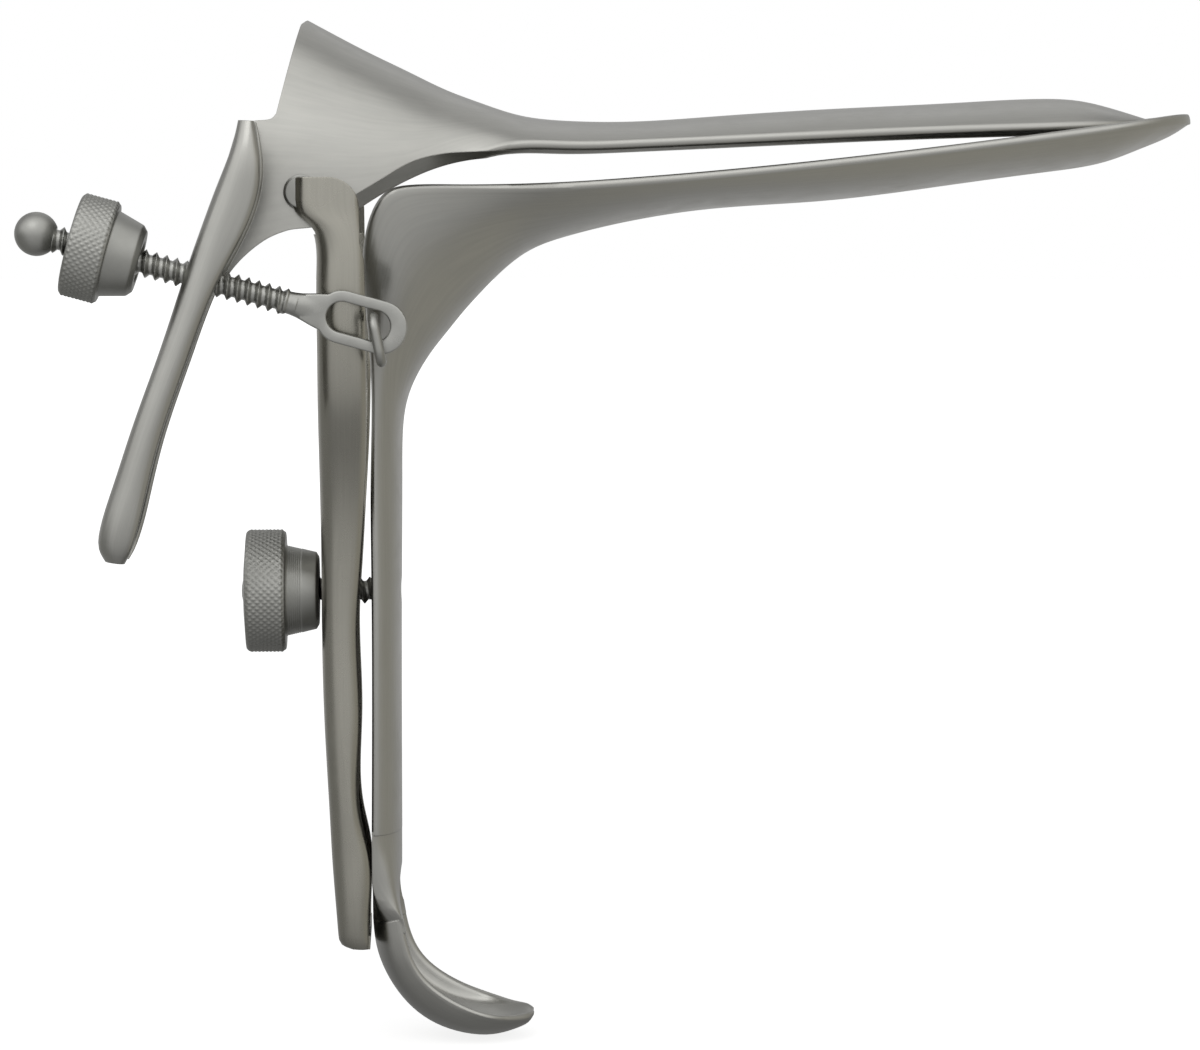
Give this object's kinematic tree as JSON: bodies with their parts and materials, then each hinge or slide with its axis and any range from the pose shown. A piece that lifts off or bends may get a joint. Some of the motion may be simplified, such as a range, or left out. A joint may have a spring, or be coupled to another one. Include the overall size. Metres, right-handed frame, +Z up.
{
  "type": "bivalve speculum",
  "caption": "Hinged two-blade examination instrument in sheet steel: trough-shaped blades, forked sliding yoke, thumb lever, eyelet rod and knurled thumb nuts.",
  "frame": {"origin": "point on the handle, between its two rims, where the hand closes round it", "axes": "+X along the blades to their tips, +Z up towards the mouth, the thumb lever and eyelet rod on the -Y side"},
  "size_m": [0.1461, 0.0497, 0.1292],
  "materials": {
    "blade_steel": "satin, fine-brushed stainless sheet",
    "yoke_steel": "satin stainless sheet",
    "turned_steel": "turned and knurled stainless, satin",
    "thread_steel": "cut thread, satin"
  },
  "bodies": {
    "lower_blade_body": {"lower_blade": "blade_steel", "handle_stud": "thread_steel"},
    "yoke_body": {"yoke": "yoke_steel", "staple": "turned_steel", "pivot_near": "turned_steel", "pivot_far": "turned_steel"},
    "upper_blade_body": {"upper_blade": "blade_steel"},
    "eyelet_rod_body": {"eyelet_rod": "thread_steel", "rod_ball": "turned_steel"},
    "lever_nut_body": {"lever_nut": "turned_steel"},
    "handle_nut_body": {"handle_nut": "turned_steel"}
  },
  "joints": [
    {"name": "yoke_slide", "type": "slide", "parent": "lower_blade_body", "child": "yoke_body", "axis": [0, 0, 1], "range_m": [0, 0.028]},
    {"name": "blade_hinge", "type": "hinge", "parent": "yoke_body", "child": "upper_blade_body", "pos_m": [-0.01, 0, 0.0721], "axis": [0, -1, 0], "range_deg": [0, 25]},
    {"name": "rod_hinge", "type": "hinge", "parent": "yoke_body", "child": "eyelet_rod_body", "pos_m": [-0.00085, -0.02225, 0.0573], "axis": [0, -1, 0], "range_deg": [0, 11]},
    {"name": "lever_nut_travel", "type": "slide", "parent": "eyelet_rod_body", "child": "lever_nut_body", "axis": [0.9646, 0, -0.2639], "range_m": [-0.0008, 0.0045]},
    {"name": "handle_nut_travel", "type": "slide", "parent": "lower_blade_body", "child": "handle_nut_body", "axis": [-1, 0, 0], "range_m": [0, 0.004]}
  ],
  "couplings": [
    {"joint": "rod_hinge", "follows": "blade_hinge", "ratio": 0.436}
  ]
}
